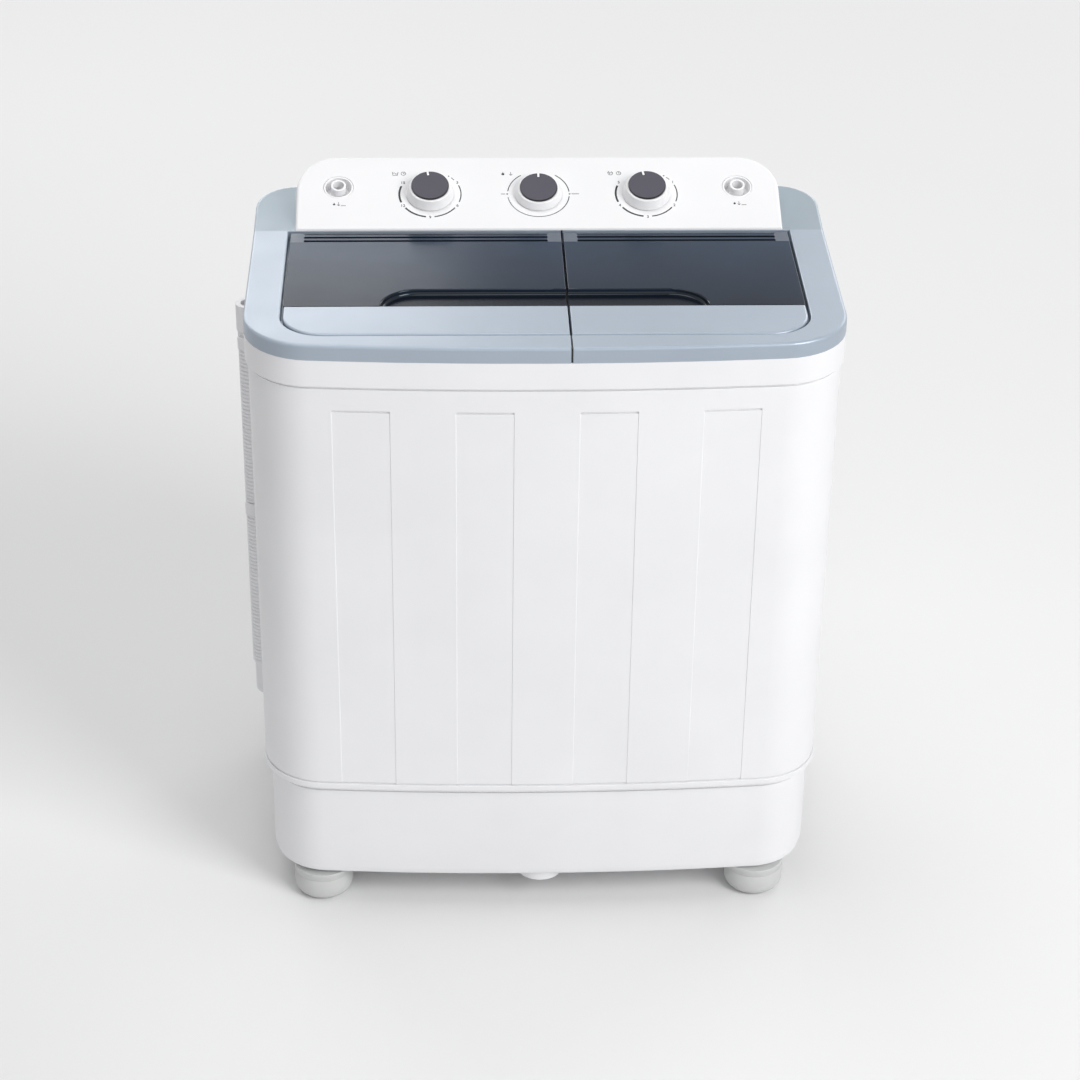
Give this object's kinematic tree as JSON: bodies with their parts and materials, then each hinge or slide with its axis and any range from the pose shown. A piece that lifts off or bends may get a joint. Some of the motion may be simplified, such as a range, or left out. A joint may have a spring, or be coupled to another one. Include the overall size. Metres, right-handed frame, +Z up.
{
  "type": "twin-tub washing machine",
  "caption": "Top-loading twin-tub washing machine: wash tub with pulsator and spin basket under two hinged smoked lids, sloped console with dials, drain hose and feet.",
  "frame": {"origin": "floor level, middle of the footprint", "axes": "+X to the machine's right as seen from the front, -Y out of the front, +Z up"},
  "size_m": [0.6055, 0.36, 0.7058],
  "materials": {
    "white_shell": "satin",
    "console_white": "satin",
    "blue_grey": "satin metallic",
    "smoked_plastic": "polished, smoked",
    "dark_cap": "satin",
    "tub_plastic": "satin",
    "pulsator_plastic": "satin",
    "pipe_plastic": "matte",
    "hose_plastic": "matte",
    "timer_plastic": "matte",
    "steel": "brushed",
    "motor_paint": "satin",
    "cast": "cast",
    "pulley_plastic": "matte",
    "rubber": "matte",
    "brake_lining": "matte",
    "cover_plastic": "matte"
  },
  "bodies": {
    "machine": {"cabinet": "white_shell", "base": "white_shell", "foot_front_left": "white_shell", "foot_front_right": "white_shell", "foot_rear_left": "white_shell", "foot_rear_right": "white_shell", "wash_top_frame": "blue_grey", "spin_top_frame": "blue_grey", "console_shell": "console_white", "lid_hinge_pins": "steel", "wash_timer": "timer_plastic", "drain_selector": "timer_plastic", "spin_timer": "timer_plastic", "wash_inlet": "console_white", "spin_inlet": "console_white", "wash_tub": "tub_plastic", "wash_bearing": "cast", "wash_motor": "motor_paint", "drive_belt": "rubber", "filter_guide": "tub_plastic", "overflow_cover": "tub_plastic", "drain_valve": "pipe_plastic", "drain_pipes": "pipe_plastic", "drain_outlet": "pipe_plastic", "drain_hose": "hose_plastic", "hose_cuff": "hose_plastic", "hose_clips": "pipe_plastic", "spin_tub": "tub_plastic", "spin_seal": "rubber", "spin_motor": "motor_paint", "spin_mounts": "rubber", "back_cover": "cover_plastic", "cover_screws": "steel", "cord_gland": "rubber"},
    "wash_lid": {"wash_lid_panel": "smoked_plastic", "wash_lid_strip": "blue_grey"},
    "spin_lid": {"spin_lid_panel": "smoked_plastic", "spin_lid_strip": "blue_grey"},
    "wash_timer_dial": {"wash_timer_knob": "console_white", "wash_timer_cap": "dark_cap", "wash_timer_shaft": "steel"},
    "selector_dial": {"selector_knob": "console_white", "selector_cap": "dark_cap", "selector_shaft": "steel"},
    "spin_timer_dial": {"spin_timer_knob": "console_white", "spin_timer_cap": "dark_cap", "spin_timer_shaft": "steel"},
    "agitator": {"pulsator": "pulsator_plastic", "pulsator_screw": "steel", "pulsator_shaft": "steel", "wash_pulley": "pulley_plastic"},
    "wash_rotor": {"wash_motor_shaft": "steel", "wash_motor_pulley": "pulley_plastic"},
    "filter": {"lint_filter": "pulsator_plastic"},
    "drain_stopper": {"drain_plunger": "rubber"},
    "spinner": {"spin_basket": "tub_plastic", "spin_shaft": "steel", "brake_drum": "cast"},
    "press_cap": {"spin_press_cap": "pulsator_plastic"},
    "brake": {"brake_lever": "brake_lining"}
  },
  "joints": [
    {"name": "wash_lid_hinge", "type": "hinge", "parent": "machine", "child": "wash_lid", "pos_m": [-0.11, 0.0765, 0.6585], "axis": [-1, 0, 0], "range_deg": [0, 100]},
    {"name": "spin_lid_hinge", "type": "hinge", "parent": "machine", "child": "spin_lid", "pos_m": [0.14, 0.0765, 0.6585], "axis": [-1, 0, 0], "range_deg": [0, 100]},
    {"name": "wash_timer_turn", "type": "hinge", "parent": "machine", "child": "wash_timer_dial", "pos_m": [-0.111, 0.12928, 0.68552], "axis": [0, 0.3859, -0.9225], "range_deg": [0, 300]},
    {"name": "selector_turn", "type": "hinge", "parent": "machine", "child": "selector_dial", "pos_m": [0, 0.12928, 0.68552], "axis": [0, 0.3859, -0.9225], "range_deg": [0, 90]},
    {"name": "spin_timer_turn", "type": "hinge", "parent": "machine", "child": "spin_timer_dial", "pos_m": [0.111, 0.12928, 0.68552], "axis": [0, 0.3859, -0.9225], "range_deg": [0, 300]},
    {"name": "pulsator_spin", "type": "hinge", "parent": "machine", "child": "agitator", "pos_m": [-0.126, -0.0025, 0.2], "axis": [0, 0, 1], "continuous": true},
    {"name": "wash_motor_spin", "type": "hinge", "parent": "machine", "child": "wash_rotor", "pos_m": [-0.212, -0.098, 0.12], "axis": [0, 0, 1], "continuous": true},
    {"name": "filter_slide", "type": "slide", "parent": "machine", "child": "filter", "axis": [0, 0, 1], "range_m": [0, 0.07]},
    {"name": "drain_valve_lift", "type": "slide", "parent": "machine", "child": "drain_stopper", "axis": [0, 0, 1], "range_m": [0, 0.012]},
    {"name": "basket_spin", "type": "hinge", "parent": "machine", "child": "spinner", "pos_m": [0.14, -0.033, 0.2], "axis": [0, 0, 1], "continuous": true},
    {"name": "press_cap_slide", "type": "slide", "parent": "spinner", "child": "press_cap", "axis": [0, 0, 1], "range_m": [0, 0.28]},
    {"name": "brake_swing", "type": "hinge", "parent": "machine", "child": "brake", "pos_m": [0.14, -0.103, 0.19], "axis": [0, 0, 1], "range_deg": [0, 3.5]}
  ],
  "couplings": [
    {"joint": "wash_motor_spin", "follows": "pulsator_spin", "ratio": 4.8908},
    {"joint": "drain_valve_lift", "follows": "selector_turn", "m_per_rad": 0.007639},
    {"joint": "brake_swing", "follows": "spin_lid_hinge", "ratio": 0.035}
  ]
}
